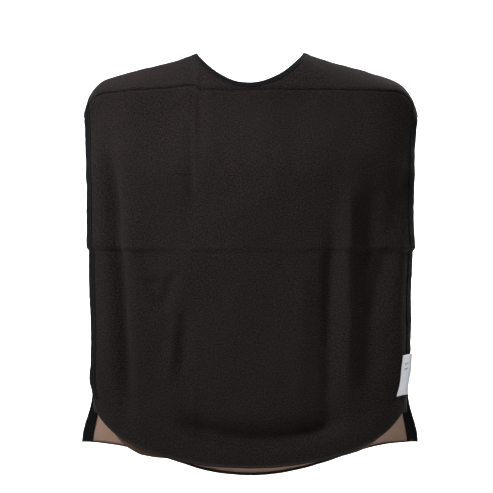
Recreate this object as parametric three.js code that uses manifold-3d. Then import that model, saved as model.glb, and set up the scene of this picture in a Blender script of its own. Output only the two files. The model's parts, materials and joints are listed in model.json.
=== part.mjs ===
// A two-sided lead apron of the poncho kind: a shoulder yoke with a neck opening, a front panel and a
// back panel that hang from it, and a hook-and-loop side strap at each lower side. Every panel is a
// laminate of outer fabric, two lead-vinyl sheets and a vinyl lining. The apron is shaped as it hangs on
// a wearer.
//
// Millimetres. +Z is up, the front faces -Y, +X is on the right of a person looking at the front.
// The origin is in the middle of the neck opening, at the height of the shoulders beside the neck.
//
// Every sheet lies on one surface, point(a, s). a runs across the apron, from -1 at its left edge to 1 at
// its right edge. s runs along it: below 0 on the front panel, from 0 to the yoke's depth over the
// shoulders, and beyond that on the back panel.
import * as THREE from "three";
import { mergeVertices } from "three/addons/utils/BufferGeometryUtils.js";
import Module from "manifold-3d";

const wasm = await Module();
wasm.setup();

// ---- driving dimensions ----
const HALF_WIDTH = 281; // half the width over the shoulder tips
const NECK_HALF_WIDTH = 93;
const SEAM_Z = -71; // height of the two seams between the yoke and the panels
const SEAM_FRONT_Y = -75;
const SEAM_BACK_Y = 80;
const RIDGE_FALL = 0.309; // how fast the shoulder ridge nears the seams, outwards from the neck
const RIDGE_POWER = 1.7; // roundness of the shoulder, front to back
const DROOP = { from: 240, depth: 45, power: 2.5 }; // the shoulder tips bend down
const CURL = { from: 195, front: 35, back: 20 }; // the side edges bend round the body
const SEAM_ROUND = 14; // reach of the rounded bend at each seam

const CHEST = { depth: 45, over: 150, flat: 0.75 }; // how the front panel stands out below its seam
const FRONT = { hemHalfWidth: 267, cornerZ: -593, hemDrop: 104 };
const CORNER = { inwards: 6, over: 45 }; // the front panel's lower corners are rounded
const SHOULDER_BLADE = { depth: 15, over: 120 };
const BACK = { cornerZ: -687, hemDrop: 61.5 };

const FABRIC = 1.2; // thickness of the outer fabric
const LEAD = 0.9; // of each lead-vinyl sheet
const LINING = 0.7;
const GAP = 0.3; // between neighbouring pieces
const SEAM_GAP = 0.35; // from a seam to the edge of a panel

const TAPE = 0.8; // thickness of the binding tape
const TAPE_GAP = 0.75; // between the tape and the layers inside it
const NECK_TAPE_WIDTH = 9;
const EDGE_TAPE = 0.036; // width of the side binding, as a share of the half width
const HEM_FACING = { front: 35, back: 4 }; // height of the fabric turned up inside each hem
const HEM_TURN = 14; // from the hem up to the edge of the lead sheets
const FACING = 0.6; // thickness of the hem facing
const FACING_REACH = 0.995; // of the way to the side bindings

const STRAP = { height: 32, thickness: 1.5, z: -602 };
const PATCH = { height: 28, length: 24, thickness: 1.2 }; // hook, loop and anchor patches
const FASTENING = { a: 0.958, depth: 7.4 }; // middle of the loop patch, and its depth behind the front
const ANCHOR_X = 259;
const LABEL = { topZ: -516, height: 74, width: 21, thickness: 0.6, reach: 0.93, clear: 3.1 };
const THREAD = 0.7;

// ---- colours ----
const finish = (color, roughness, metalness = 0) =>
  new THREE.MeshStandardMaterial({ color, roughness, metalness });
const brownFabric = finish("#2b2524", 0.95);
const leadVinyl = finish("#5d6064", 0.7);
const taupeVinyl = finish("#8d7568", 0.5);
const blackTape = finish("#101114", 0.8);
const blackWebbing = finish("#141416", 0.85);
const threadFibre = finish("#1a1717", 0.8);
const whiteSatin = finish("#dfe2e8", 0.6);

// ---- the apron's surface ----
const smooth = (t) => {
  const c = Math.min(1, Math.max(0, t));
  return c * c * (3 - 2 * c);
};
const past = (value, from, to) => Math.max(0, (value - from) / (to - from));

const yokeX = (a) => a * HALF_WIDTH;
const curl = (a) => past(Math.abs(yokeX(a)), CURL.from, HALF_WIDTH) ** 2;
const seamZ = (a) =>
  SEAM_Z - DROOP.depth * past(Math.abs(yokeX(a)), DROOP.from, HALF_WIDTH) ** DROOP.power;
const frontY = (a) => SEAM_FRONT_Y + CURL.front * curl(a);
const backY = (a) => SEAM_BACK_Y - CURL.back * curl(a);
const yokeDepth = (a) => backY(a) - frontY(a);
const ridgeRise = (a) =>
  -SEAM_Z - RIDGE_FALL * Math.max(0, Math.abs(yokeX(a)) - NECK_HALF_WIDTH);

const frontHalfWidth = (z) => {
  const share = past(-z, -seamZ(1), -FRONT.cornerZ);
  const rounding = CORNER.inwards * smooth(1 + (FRONT.cornerZ - z) / CORNER.over);
  return HALF_WIDTH + (FRONT.hemHalfWidth - HALF_WIDTH) * share - rounding;
};
const backHalfWidth = (z) =>
  HALF_WIDTH +
  9 * smooth((-120 - z) / 200) -
  6 * smooth((-380 - z) / 200) +
  17.5 * smooth((-600 - z) / 87);

function frontPoint(a, drop) {
  const z = seamZ(a) - drop;
  const stand = CHEST.depth * smooth(drop / CHEST.over) * (1 - CHEST.flat * a * a);
  return new THREE.Vector3(a * frontHalfWidth(z), frontY(a) - stand, z);
}

function yokePoint(a, reach) {
  const y = frontY(a) + reach;
  const edge = y < 0 ? frontY(a) : backY(a);
  const z = seamZ(a) + ridgeRise(a) * (1 - Math.abs(y / edge) ** RIDGE_POWER);
  return new THREE.Vector3(yokeX(a), y, z);
}

function backPoint(a, drop) {
  const z = seamZ(a) - drop;
  const uncurl = CURL.back * curl(a) * smooth(drop / 400);
  const y = backY(a) + uncurl + SHOULDER_BLADE.depth * smooth(drop / SHOULDER_BLADE.over);
  return new THREE.Vector3(a * backHalfWidth(z), y, z);
}

// A quadratic bend from p to r round the corner q.
const bend = (p, q, r, t) =>
  p
    .clone()
    .multiplyScalar((1 - t) ** 2)
    .addScaledVector(q, 2 * t * (1 - t))
    .addScaledVector(r, t * t);

function point(a, s) {
  const depth = yokeDepth(a);
  const t = (offset) => (offset + SEAM_ROUND) / (2 * SEAM_ROUND);
  if (s < -SEAM_ROUND) return frontPoint(a, -s);
  if (s < SEAM_ROUND)
    return bend(frontPoint(a, SEAM_ROUND), frontPoint(a, 0), yokePoint(a, SEAM_ROUND), t(s));
  if (s < depth - SEAM_ROUND) return yokePoint(a, s);
  const beyond = s - depth;
  if (beyond < SEAM_ROUND)
    return bend(
      yokePoint(a, depth - SEAM_ROUND),
      backPoint(a, 0),
      backPoint(a, SEAM_ROUND),
      t(beyond),
    );
  return backPoint(a, beyond);
}

const acrossAt = (a, s) => point(a + 0.002, s).sub(point(a - 0.002, s)).divideScalar(0.004);
const alongAt = (a, s) => point(a, s + 0.5).sub(point(a, s - 0.5));
const normal = (a, s) => acrossAt(a, s).cross(alongAt(a, s)).normalize();

// A point of the surface, moved out along its normal.
const lifted = ([a, s], offset) => point(a, s).addScaledVector(normal(a, s), offset);

// The surface's coordinates a distance away from [a, s], in a direction given in space.
function stepped([a, s], direction, distance) {
  const u = acrossAt(a, s);
  const v = alongAt(a, s);
  const [uu, uv, vv] = [u.dot(u), u.dot(v), v.dot(v)];
  const [du, dv] = [u.dot(direction) * distance, v.dot(direction) * distance];
  const scale = uu * vv - uv * uv;
  return [a + (vv * du - uv * dv) / scale, s + (uu * dv - uv * du) / scale];
}

// ---- closed solids ----
function solid(corners, faces) {
  const geometry = new THREE.BufferGeometry();
  geometry.setAttribute(
    "position",
    new THREE.Float32BufferAttribute(
      corners.flatMap((p) => p.toArray()),
      3,
    ),
  );
  geometry.setIndex(faces.flat());
  geometry.computeVertexNormals();
  return geometry;
}

// The two triangles of a quad, split from p to r, or from q to t when it is turned.
const quad = (p, q, r, t, turned = false) =>
  turned
    ? [
        [p, q, t],
        [q, r, t],
      ]
    : [
        [p, q, r],
        [p, r, t],
      ];

// The shell between two offsets of a grid of surface coordinates, grid[row][column]. A ring's columns
// close on themselves, so it has no side walls. The left half of a panel mirrors the right half.
function shell(grid, inner, outer, ring = false) {
  const rows = grid.length;
  const columns = grid[0].length;
  const corners = [outer, inner].flatMap((offset) => grid.flat().map((at) => lifted(at, offset)));
  const top = (row, column) => row * columns + (column % columns);
  const under = (row, column) => rows * columns + top(row, column);
  const faces = [];
  const spans = ring ? columns : columns - 1;
  for (let j = 0; j < rows - 1; j += 1) {
    for (let i = 0; i < spans; i += 1) {
      const left = !ring && grid[j][i][0] < 0;
      faces.push(...quad(top(j, i), top(j, i + 1), top(j + 1, i + 1), top(j + 1, i), left));
      faces.push(...quad(under(j, i), under(j + 1, i), under(j + 1, i + 1), under(j, i + 1), left));
    }
  }
  for (let i = 0; i < spans; i += 1) {
    faces.push(...quad(top(0, i), under(0, i), under(0, i + 1), top(0, i + 1)));
    const j = rows - 1;
    faces.push(...quad(top(j, i), top(j, i + 1), under(j, i + 1), under(j, i)));
  }
  if (!ring) {
    for (let j = 0; j < rows - 1; j += 1) {
      faces.push(...quad(top(j, 0), top(j + 1, 0), under(j + 1, 0), under(j, 0)));
      const i = columns - 1;
      faces.push(...quad(top(j, i), under(j, i), under(j + 1, i), top(j + 1, i)));
    }
  }
  return solid(corners, faces);
}

// A solid swept through sections, each a list of corners; a loop's last section meets its first. Every
// second side of a tape's section is turned, so that its faces split as those of the sheets inside it do.
function swept(sections, loop = false) {
  const size = sections[0].length;
  const faces = [];
  const at = (k, i) => (k % sections.length) * size + (i % size);
  for (let k = 0; k < sections.length - (loop ? 0 : 1); k += 1) {
    for (let i = 0; i < size; i += 1) {
      const corners = [at(k, i), at(k, i + 1), at(k + 1, i + 1), at(k + 1, i)];
      faces.push(...quad(...corners, i % 4 === 2));
    }
  }
  if (!loop) {
    const outline = sections[0].map((_, i) => i);
    const last = sections.length - 1;
    for (const [p, q, r] of tapeCaps(outline)) {
      faces.push([at(0, p), at(0, r), at(0, q)], [at(last, p), at(last, q), at(last, r)]);
    }
  }
  return solid(sections.flat(), faces);
}

// The triangles that fill a section: a four-cornered one, or the binding's U of eight corners.
function tapeCaps(outline) {
  if (outline.length === 4) return quad(0, 1, 2, 3);
  return [...quad(0, 1, 6, 7), ...quad(1, 2, 5, 6), ...quad(2, 3, 4, 5)];
}

function facingOut(geometry) {
  const merged = mergeVertices(geometry, 1e-3);
  const made = new wasm.Manifold(meshOf(merged));
  if (made.volume() >= 0) return geometry;
  const index = geometry.index.array;
  for (let i = 0; i < index.length; i += 3) [index[i], index[i + 1]] = [index[i + 1], index[i]];
  return geometry;
}

function meshOf(geometry) {
  const bare = geometry.index ? geometry.toNonIndexed() : geometry.clone();
  bare.deleteAttribute("normal");
  bare.deleteAttribute("uv");
  const merged = mergeVertices(bare, 1e-3);
  return new wasm.Mesh({
    numProp: 3,
    vertProperties: new Float32Array(merged.attributes.position.array),
    triVerts: new Uint32Array(merged.index.array),
  });
}

// ---- where the sheets' corners are ----
const mirrored = (list) => [...list.map((a) => -a), 0, ...[...list].reverse()];
const COLUMNS = mirrored([1, 1 - EDGE_TAPE, 0.86, 0.72, 0.54, 0.36, 0.18]);
const PANEL_STEPS = [0.07, 0.15, 0.27, 0.44, 0.62, 0.81, 1];

// The distance below the seam of each row of a panel, at one column.
function rowDrops(hemDrop, facing) {
  const upper = hemDrop - Math.max(facing, HEM_TURN);
  const lower = hemDrop - Math.min(facing, HEM_TURN);
  const top = [SEAM_GAP, 8, 18];
  return [...top, ...PANEL_STEPS.map((t) => 18 + (upper - 18) * t), lower, hemDrop];
}

const frontHem = (a) => seamZ(a) - FRONT.cornerZ + FRONT.hemDrop * Math.sqrt(1 - a * a);
const backHem = (a) => seamZ(a) - BACK.cornerZ + (BACK.hemDrop * (1 + Math.cos(Math.PI * a))) / 2;

const ROWS = 3 + PANEL_STEPS.length + 2;
const rowsOf = (build) => Array.from({ length: ROWS }, (_, j) => COLUMNS.map((a) => build(a, j)));
// The front panel's rows run up from the hem, and the back panel's run down to it, as s does.
const frontGrid = rowsOf((a, j) => [a, -rowDrops(frontHem(a), HEM_FACING.front)[j]]).reverse();
const backGrid = rowsOf((a, j) => [a, yokeDepth(a) + rowDrops(backHem(a), HEM_FACING.back)[j]]);

// The yoke is a ring round the neck opening. Its outer edge follows the seams and the side edges.
const SIDE_STEPS = 6;
function yokeEdge(inset, seamInset) {
  const edge = 1 - inset;
  const clamp = (a) => Math.max(-edge, Math.min(edge, a));
  const along = (a, t) => seamInset + (yokeDepth(a) - 2 * seamInset) * t;
  const seam = (list, t) => list.map((a) => [clamp(a), along(clamp(a), t)]);
  const side = (a) =>
    Array.from({ length: SIDE_STEPS - 1 }, (_, k) => [a * edge, along(a * edge, (k + 1) / SIDE_STEPS)]);
  return [
    ...seam(COLUMNS, 0),
    ...side(1),
    ...seam([...COLUMNS].reverse(), 1),
    ...side(-1).reverse(),
  ];
}

const NECK = { a: NECK_HALF_WIDTH / HALF_WIDTH, front: 8, back: 141 };
const neckMiddle = (NECK.front + NECK.back) / 2;
const outerEdge = yokeEdge(0, SEAM_GAP);
const neckAngles = outerEdge.map(([a, s]) => Math.atan2((2 * s) / yokeDepth(a) - 1, a));
const neckAt = (angle) => [
  NECK.a * Math.cos(angle),
  neckMiddle + ((NECK.back - NECK.front) / 2) * Math.sin(angle),
];
const neckEdge = neckAngles.map(neckAt);
// The direction from the neck opening's edge into the fabric, in space.
const awayFromNeck = neckAngles.map((angle, k) => {
  const ahead = point(...neckAt(angle + 0.02)).sub(point(...neckAt(angle - 0.02)));
  return ahead.cross(normal(...neckEdge[k])).normalize();
});
const neckTapeEdge = neckEdge.map((at, k) => stepped(at, awayFromNeck[k], NECK_TAPE_WIDTH));
const innerEdge = yokeEdge(EDGE_TAPE, 1);
const between = (t) =>
  neckTapeEdge.map(([a, s], k) => [
    a + (innerEdge[k][0] - a) * t,
    s + (innerEdge[k][1] - s) * t,
  ]);
const yokeRings = [neckEdge, neckTapeEdge, between(1 / 3), between(2 / 3), innerEdge, outerEdge];
// Rings run outwards and their columns anticlockwise seen from above, so the rows are turned round.
const yokeGrid = [...yokeRings].reverse();

// ---- the laminate's layers, as offsets from the outer face ----
const layer = (top, thickness) => ({ outer: top, inner: top - thickness });
const outerLayer = layer(0, FABRIC);
const leadLayers = [
  layer(outerLayer.inner - GAP, LEAD),
  layer(outerLayer.inner - 2 * GAP - LEAD, LEAD),
];
const liningLayer = layer(leadLayers[1].inner - GAP, LINING);
const facingLayer = layer(liningLayer.inner - 2 * GAP, FACING);

// The lead sheets stop HEM_TURN above the hems.
const lead = { yoke: yokeGrid.slice(0, -1), front: frontGrid.slice(1), back: backGrid.slice(0, -2) };
const inside = (grid) => grid.map((row) => row.slice(1, -1));
const laid = (grid, { outer, inner }, ring) => facingOut(shell(grid, inner, outer, ring));

// ---- the binding tape, a U folded over an edge ----
// edge is the line it covers, leg the line on the fabric that the tape reaches to.
function tapeSection(edge, leg) {
  const outwards = point(...edge).sub(point(...leg)).normalize();
  const inner = liningLayer.inner - TAPE_GAP;
  const outer = TAPE_GAP + TAPE;
  const wall = (distance, offset) => lifted(edge, offset).addScaledVector(outwards, distance);
  return [
    lifted(leg, outer),
    wall(outer, outer),
    wall(outer, inner - TAPE),
    lifted(leg, inner - TAPE),
    lifted(leg, inner),
    wall(TAPE_GAP, inner),
    wall(TAPE_GAP, TAPE_GAP),
    lifted(leg, TAPE_GAP),
  ];
}
const tape = (edges, legs, loop) =>
  facingOut(
    swept(
      edges.map((edge, k) => tapeSection(edge, legs[k])),
      loop,
    ),
  );
const sideTape = (grid, side) => {
  const [edge, leg] = side < 0 ? [0, 1] : [COLUMNS.length - 1, COLUMNS.length - 2];
  return tape(
    grid.map((row) => row[edge]),
    grid.map((row) => row[leg]),
  );
};
function yokeSideTape(side) {
  const last = COLUMNS.length - 1;
  const right = Array.from({ length: SIDE_STEPS + 1 }, (_, k) => last + k);
  const left = Array.from({ length: SIDE_STEPS + 1 }, (_, k) => 2 * last + SIDE_STEPS + k);
  const picked = (side > 0 ? right : left).map((k) => k % outerEdge.length).reverse();
  return tape(
    picked.map((k) => outerEdge[k]),
    picked.map((k) => innerEdge[k]),
  );
}

// A row of top-stitching: a square thread laid along the yoke beside a seam.
function seamThread(ringStart) {
  const line = Array.from({ length: COLUMNS.length - 2 }, (_, k) => innerEdge[ringStart + 1 + k]);
  return facingOut(
    swept(
      line.map(([a, s]) => {
        const ahead = alongAt(a, s).normalize().multiplyScalar(THREAD / 2);
        return [
          lifted([a, s], GAP).sub(ahead),
          lifted([a, s], GAP + THREAD).sub(ahead),
          lifted([a, s], GAP + THREAD).add(ahead),
          lifted([a, s], GAP).add(ahead),
        ];
      }),
    ),
  );
}

// ---- side straps, each held to the front panel by hook-and-loop patches ----
// side is -1 on the left and 1 on the right. The axis points from the front panel into the apron, and
// outwards runs along the panel towards its side edge.
function fasteningFrame(side) {
  const at = [side * FASTENING.a, STRAP.z - seamZ(FASTENING.a)];
  const axis = normal(...at).negate().setZ(0).normalize();
  return { origin: point(...at), axis, outwards: new THREE.Vector3(axis.y * side, -axis.x * side, 0) };
}

// Depths of the fastening's pieces along its axis, counted from the front panel's outer face.
const STACK = {
  loop: FASTENING.depth,
  hook: FASTENING.depth + PATCH.thickness + GAP,
  strap: FASTENING.depth + 2 * PATCH.thickness + 2 * GAP,
};

// A flat patch that stands upright behind the front panel, at a depth along the fastening's axis.
function fasteningPatch(side, depth) {
  const { origin, axis, outwards } = fasteningFrame(side);
  const middle = origin.clone().addScaledVector(axis, depth + PATCH.thickness / 2);
  const patch = new THREE.BoxGeometry(PATCH.length, PATCH.thickness, PATCH.height);
  patch.rotateZ(Math.atan2(outwards.y, outwards.x));
  return patch.translate(...middle.toArray());
}

const anchorFaceY = SEAM_BACK_Y + SHOULDER_BLADE.depth + liningLayer.inner - GAP;
function anchorPatch(side) {
  const patch = new THREE.BoxGeometry(PATCH.length, PATCH.thickness, PATCH.height);
  return patch.translate(side * ANCHOR_X, anchorFaceY - PATCH.thickness / 2, STRAP.z);
}

// The strap's middle line seen from above: flat behind the hook patch, round the wearer's side, and flat
// against the anchor patch.
function strapLine(side) {
  const { origin, axis, outwards } = fasteningFrame(side);
  const start = origin.clone().addScaledVector(axis, STACK.strap + STRAP.thickness / 2);
  const half = PATCH.length / 2;
  const endY = anchorFaceY - PATCH.thickness - GAP - STRAP.thickness / 2;
  const flat = [-half, half].map((distance) => start.clone().addScaledVector(outwards, distance));
  const beside = (x, y) => new THREE.Vector3(side * x, y, STRAP.z);
  return [...flat, beside(267, -30), beside(271, 0), beside(272, 35), beside(271, 66), beside(267, 82)]
    .concat([beside(259, endY), beside(ANCHOR_X - half, endY)]);
}

function strapGeometry(side) {
  const line = strapLine(side);
  const edge = (offset) =>
    line.map((p, k) => {
      const before = line[Math.max(0, k - 1)];
      const after = line[Math.min(line.length - 1, k + 1)];
      const ahead = after.clone().sub(before).normalize();
      return new THREE.Vector2(p.x - ahead.y * offset, p.y + ahead.x * offset);
    });
  const half = STRAP.thickness / 2;
  const outline = new THREE.Shape([...edge(-half), ...edge(half).reverse()]);
  const band = new THREE.ExtrudeGeometry(outline, { depth: STRAP.height, bevelEnabled: false });
  return band.translate(0, 0, STRAP.z - STRAP.height / 2);
}

// ---- the label, sewn in at the right edge and lying flat on the front panel ----
function labelGeometry() {
  const z = LABEL.topZ - LABEL.height / 2;
  const at = (a) => lifted([a, z - seamZ(a)], LABEL.clear + LABEL.thickness / 2);
  const edge = at(1);
  const inwards = at(LABEL.reach).sub(edge).setZ(0).normalize();
  const middle = edge.addScaledVector(inwards, LABEL.width / 2);
  const label = new THREE.BoxGeometry(LABEL.width, LABEL.thickness, LABEL.height);
  label.rotateZ(Math.atan2(inwards.y, inwards.x));
  return label.translate(...middle.toArray());
}

// ---- the assembly ----
const apron = new THREE.Group();
const bodies = {};
function body(name) {
  bodies[name] ??= new THREE.Group();
  if (!bodies[name].parent) apron.add(bodies[name]);
  return bodies[name];
}
function add(group, name, material, geometry) {
  const mesh = new THREE.Mesh(geometry, material);
  mesh.name = name;
  body(group).add(mesh);
}

function addPanel(name, grid, leadGrid, ring = false) {
  add(name, `${name}_outer_fabric`, brownFabric, laid(grid, outerLayer, ring));
  const core = ring ? leadGrid : inside(leadGrid);
  leadLayers.forEach((depth, k) => {
    const which = ["outer", "inner"][k];
    add(name, `${name}_lead_sheet_${which}`, leadVinyl, laid(core, depth, ring));
  });
  add(name, `${name}_lining`, taupeVinyl, laid(grid, liningLayer, ring));
}

addPanel("yoke", yokeGrid, lead.yoke, true);
addPanel("front", frontGrid, lead.front);
addPanel("back", backGrid, lead.back);

add("yoke", "neckline_binding", blackTape, tape(neckEdge, neckTapeEdge, true));
add("yoke", "front_seam_thread", threadFibre, seamThread(0));
add("yoke", "back_seam_thread", threadFibre, seamThread(COLUMNS.length - 1 + SIDE_STEPS));

// The facings reach up from the hem, and stop just short of the side bindings.
const faced = (rows) => inside(rows).map((row) => row.map(([a, s]) => [a * FACING_REACH, s]));
add("front", "front_hem_facing", brownFabric, laid(faced(frontGrid.slice(0, 3)), facingLayer));
add("back", "back_hem_facing", brownFabric, laid(faced(backGrid.slice(-2)), facingLayer));

for (const [label, side] of Object.entries({ left: -1, right: 1 })) {
  add("yoke", `yoke_${label}_binding`, blackTape, yokeSideTape(side));
  add("front", `front_${label}_binding`, blackTape, sideTape(frontGrid, side));
  add("back", `back_${label}_binding`, blackTape, sideTape(backGrid, side));

  add("front", `front_${label}_loop_patch`, blackWebbing, fasteningPatch(side, STACK.loop));
  add(`${label}_strap`, `${label}_strap_hook_patch`, blackWebbing, fasteningPatch(side, STACK.hook));
  add(`${label}_strap`, `${label}_side_strap`, blackWebbing, strapGeometry(side));
  add("back", `back_${label}_anchor_patch`, blackWebbing, anchorPatch(side));
}

add("label", "side_label", whiteSatin, labelGeometry());

export default apron;
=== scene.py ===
# A dental lead apron: cloth, linings, lead-vinyl sheets, tapes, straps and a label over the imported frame.
#
# Metres. +Z is up and the front faces -Y. Every layer lies on one surface, place(a, s): a runs across the
# apron from -1 to 1, and s runs along it, below 0 on the front panel, over the yoke, and on to the back.
import json
import math

import bmesh
import bpy
import numpy as np
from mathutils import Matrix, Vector


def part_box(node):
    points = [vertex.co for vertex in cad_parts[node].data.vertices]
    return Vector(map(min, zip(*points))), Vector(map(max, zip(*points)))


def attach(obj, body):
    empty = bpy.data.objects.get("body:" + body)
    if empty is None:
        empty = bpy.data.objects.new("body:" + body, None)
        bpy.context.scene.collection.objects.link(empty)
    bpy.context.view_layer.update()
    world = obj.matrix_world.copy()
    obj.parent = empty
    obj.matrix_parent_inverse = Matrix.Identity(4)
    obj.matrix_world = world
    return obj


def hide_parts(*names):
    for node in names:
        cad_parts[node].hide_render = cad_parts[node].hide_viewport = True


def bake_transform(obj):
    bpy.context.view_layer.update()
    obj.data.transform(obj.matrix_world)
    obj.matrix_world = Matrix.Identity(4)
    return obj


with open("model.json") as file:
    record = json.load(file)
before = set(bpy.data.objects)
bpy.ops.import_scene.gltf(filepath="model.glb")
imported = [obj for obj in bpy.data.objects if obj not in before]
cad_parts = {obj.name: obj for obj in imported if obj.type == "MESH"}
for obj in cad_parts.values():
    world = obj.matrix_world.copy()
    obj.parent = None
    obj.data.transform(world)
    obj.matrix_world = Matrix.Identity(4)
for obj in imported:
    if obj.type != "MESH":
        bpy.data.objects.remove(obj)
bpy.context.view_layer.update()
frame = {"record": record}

MM = 0.001
joints = {joint["name"]: joint for joint in frame["record"]["behaviour"]["joints"]}

# ---- the surface's driving sizes ----
HALF_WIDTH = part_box("yoke_outer_fabric")[1][0]
NECK_TAPE_WIDTH = 9 * MM
NECK_HALF_WIDTH = 93 * MM
SEAM_Z = joints["front_swing"]["pos_m"][2] - 1.8 * MM
SEAM_FRONT_Y = -75 * MM
SEAM_BACK_Y = 80 * MM
SEAM_ROUND = 14 * MM
RIDGE_FALL = 0.309
RIDGE_POWER = 1.7
DROOP_FROM, DROOP_DEPTH, DROOP_POWER = 240 * MM, 45 * MM, 2.5
CURL_FROM, CURL_FRONT, CURL_BACK = 195 * MM, 35 * MM, 20 * MM
CHEST_DEPTH, CHEST_OVER, CHEST_FLAT = 45 * MM, 150 * MM, 0.75
BLADE_DEPTH, BLADE_OVER = 15 * MM, 120 * MM
FRONT_HEM_HALF_WIDTH = 267 * MM
FRONT_CORNER_Z = -593 * MM
CORNER_INWARDS, CORNER_OVER = 6 * MM, 45 * MM
BACK_CORNER_Z = -687 * MM
FRONT_HEM_DROP = FRONT_CORNER_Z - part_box("front_outer_fabric")[0][2]
BACK_HEM_DROP = BACK_CORNER_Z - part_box("back_outer_fabric")[0][2]
NECK_FRONT, NECK_BACK = 8 * MM, 141 * MM
EDGE_TAPE_WIDTH = 10 * MM
SEAM_GAP = 0.04 * MM
STRAP_Z = joints["right_strap_swing"]["pos_m"][2]
# The back lies flat where the straps are sewn to it: x where that starts and is complete, half height.
ANCHOR_FROM, ANCHOR_FULL, ANCHOR_HALF_HEIGHT = 0.195, 0.222, 0.048

# Offsets of the layers' outer faces from the surface, and their thicknesses.
CLOTH = (0.0, 1.2 * MM)
LEAD_OUTER = (-1.5 * MM, 0.9 * MM)
LEAD_INNER = (-2.7 * MM, 0.9 * MM)
LINING = (-3.9 * MM, 0.7 * MM)
HEM_INSIDE = -6.1 * MM  # the turned-up hem's face, on the wearer's side
FRONT_FACING, BACK_FACING = 35 * MM, 4 * MM  # how far the hems' cloth is turned up inside
TAPE = 0.5 * MM
TAPE_OUTSIDE = 0.75 * MM
TAPE_INSIDE = -6.3 * MM
TAPE_BULGE = 1.8 * MM  # how far a tape stands out past the edge that it covers


# ---- the surface ----
def smooth(t):
    t = np.clip(t, 0, 1)
    return t * t * (3 - 2 * t)


def past(value, low, high):
    return np.maximum(0, (value - low) / (high - low))


def bump(value, middle, width):
    return np.exp(-(((value - middle) / width) ** 2))


def seam_z(a):
    return SEAM_Z - DROOP_DEPTH * past(np.abs(a) * HALF_WIDTH, DROOP_FROM, HALF_WIDTH) ** DROOP_POWER


def curl(a):
    return past(np.abs(a) * HALF_WIDTH, CURL_FROM, HALF_WIDTH) ** 2


def front_y(a):
    return SEAM_FRONT_Y + CURL_FRONT * curl(a)


def back_y(a):
    return SEAM_BACK_Y - CURL_BACK * curl(a)


def yoke_depth(a):
    return back_y(a) - front_y(a)


def front_half_width(z):
    share = past(-z, -seam_z(1.0), -FRONT_CORNER_Z)
    rounding = CORNER_INWARDS * smooth(1 + (FRONT_CORNER_Z - z) / CORNER_OVER)
    return HALF_WIDTH + (FRONT_HEM_HALF_WIDTH - HALF_WIDTH) * share - rounding


def back_half_width(z):
    below_arm = 9 * MM * smooth((-0.12 - z) / 0.2)
    waist = 6 * MM * smooth((-0.38 - z) / 0.2)
    flare = 17.5 * MM * smooth((-0.6 - z) / 0.087)
    return HALF_WIDTH + below_arm - waist + flare


def front_point(a, drop):
    z = seam_z(a) - drop
    stand = CHEST_DEPTH * smooth(drop / CHEST_OVER) * (1 - CHEST_FLAT * a * a)
    return np.stack([a * front_half_width(z), front_y(a) - stand, z], axis=-1)


def yoke_point(a, reach):
    y = front_y(a) + reach
    edge = np.where(y < 0, front_y(a), back_y(a))
    rise = -SEAM_Z - RIDGE_FALL * np.maximum(0, np.abs(a) * HALF_WIDTH - NECK_HALF_WIDTH)
    z = seam_z(a) + rise * (1 - np.abs(y / edge) ** RIDGE_POWER)
    return np.stack([a * HALF_WIDTH, y, z], axis=-1)


def back_point(a, drop):
    z = seam_z(a) - drop
    uncurl = CURL_BACK * curl(a) * smooth(drop / 0.4)
    y = back_y(a) + uncurl + BLADE_DEPTH * smooth(drop / BLADE_OVER)
    return np.stack([a * back_half_width(z), y, z], axis=-1)


def bend(p, q, r, t):
    t = t[..., None]
    return p * (1 - t) ** 2 + q * 2 * t * (1 - t) + r * t**2


def plain(a, s):
    """The surface without its folds."""
    a, s = np.broadcast_arrays(np.asarray(a, float), np.asarray(s, float))
    depth = yoke_depth(a)
    near = SEAM_ROUND
    turned = lambda offset: (offset + near) / (2 * near)
    front_bend = bend(front_point(a, near), front_point(a, 0), yoke_point(a, near), turned(s))
    back_bend = bend(
        yoke_point(a, depth - near), back_point(a, 0), back_point(a, near), turned(s - depth)
    )
    zones = [s < -near, s < near, s < depth - near, s < depth + near]
    parts = [front_point(a, -s), front_bend, yoke_point(a, s), back_bend]
    return np.select([zone[..., None] for zone in zones], parts, back_point(a, s - depth))


def normals_of(function, a, s):
    across = function(a + 0.002, s) - function(a - 0.002, s)
    along = function(a, s + 0.5 * MM) - function(a, s - 0.5 * MM)
    normal = np.cross(across, along)
    return normal / np.linalg.norm(normal, axis=-1, keepdims=True)


# ---- folds, creases and ripples, as heights along the surface's normal ----
# Soft folds of the front: x at the top and at the bottom, z at both, half width, height.
FRONT_FOLDS = [
    (0.164, 0.158, -0.19, -0.61, 0.016, 5.5 * MM),
    (0.205, 0.197, -0.16, -0.63, 0.022, -13 * MM),
    (0.252, 0.244, -0.15, -0.60, 0.014, 5 * MM),
    (0.236, 0.208, -0.315, -0.47, 0.014, -7 * MM),
    (0.262, 0.236, -0.20, -0.33, 0.012, -5 * MM),
    (0.138, 0.128, -0.26, -0.655, 0.014, -9 * MM),
    (0.088, 0.080, -0.34, -0.64, 0.016, 3 * MM),
    (-0.243, -0.204, -0.11, -0.665, 0.014, -22 * MM),
    (-0.201, -0.176, -0.20, -0.60, 0.020, 3.5 * MM),
    (-0.124, -0.134, -0.44, -0.57, 0.010, 4.6 * MM),
    (-0.104, -0.114, -0.42, -0.56, 0.011, -4.6 * MM),
    (-0.168, -0.146, -0.38, -0.44, 0.013, -6 * MM),
    (-0.126, -0.146, -0.37, -0.45, 0.011, -5 * MM),
    (-0.081, -0.100, -0.00, -0.33, 0.012, -3.6 * MM),
    (0.048, 0.030, -0.08, -0.30, 0.030, 3 * MM),
]
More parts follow.
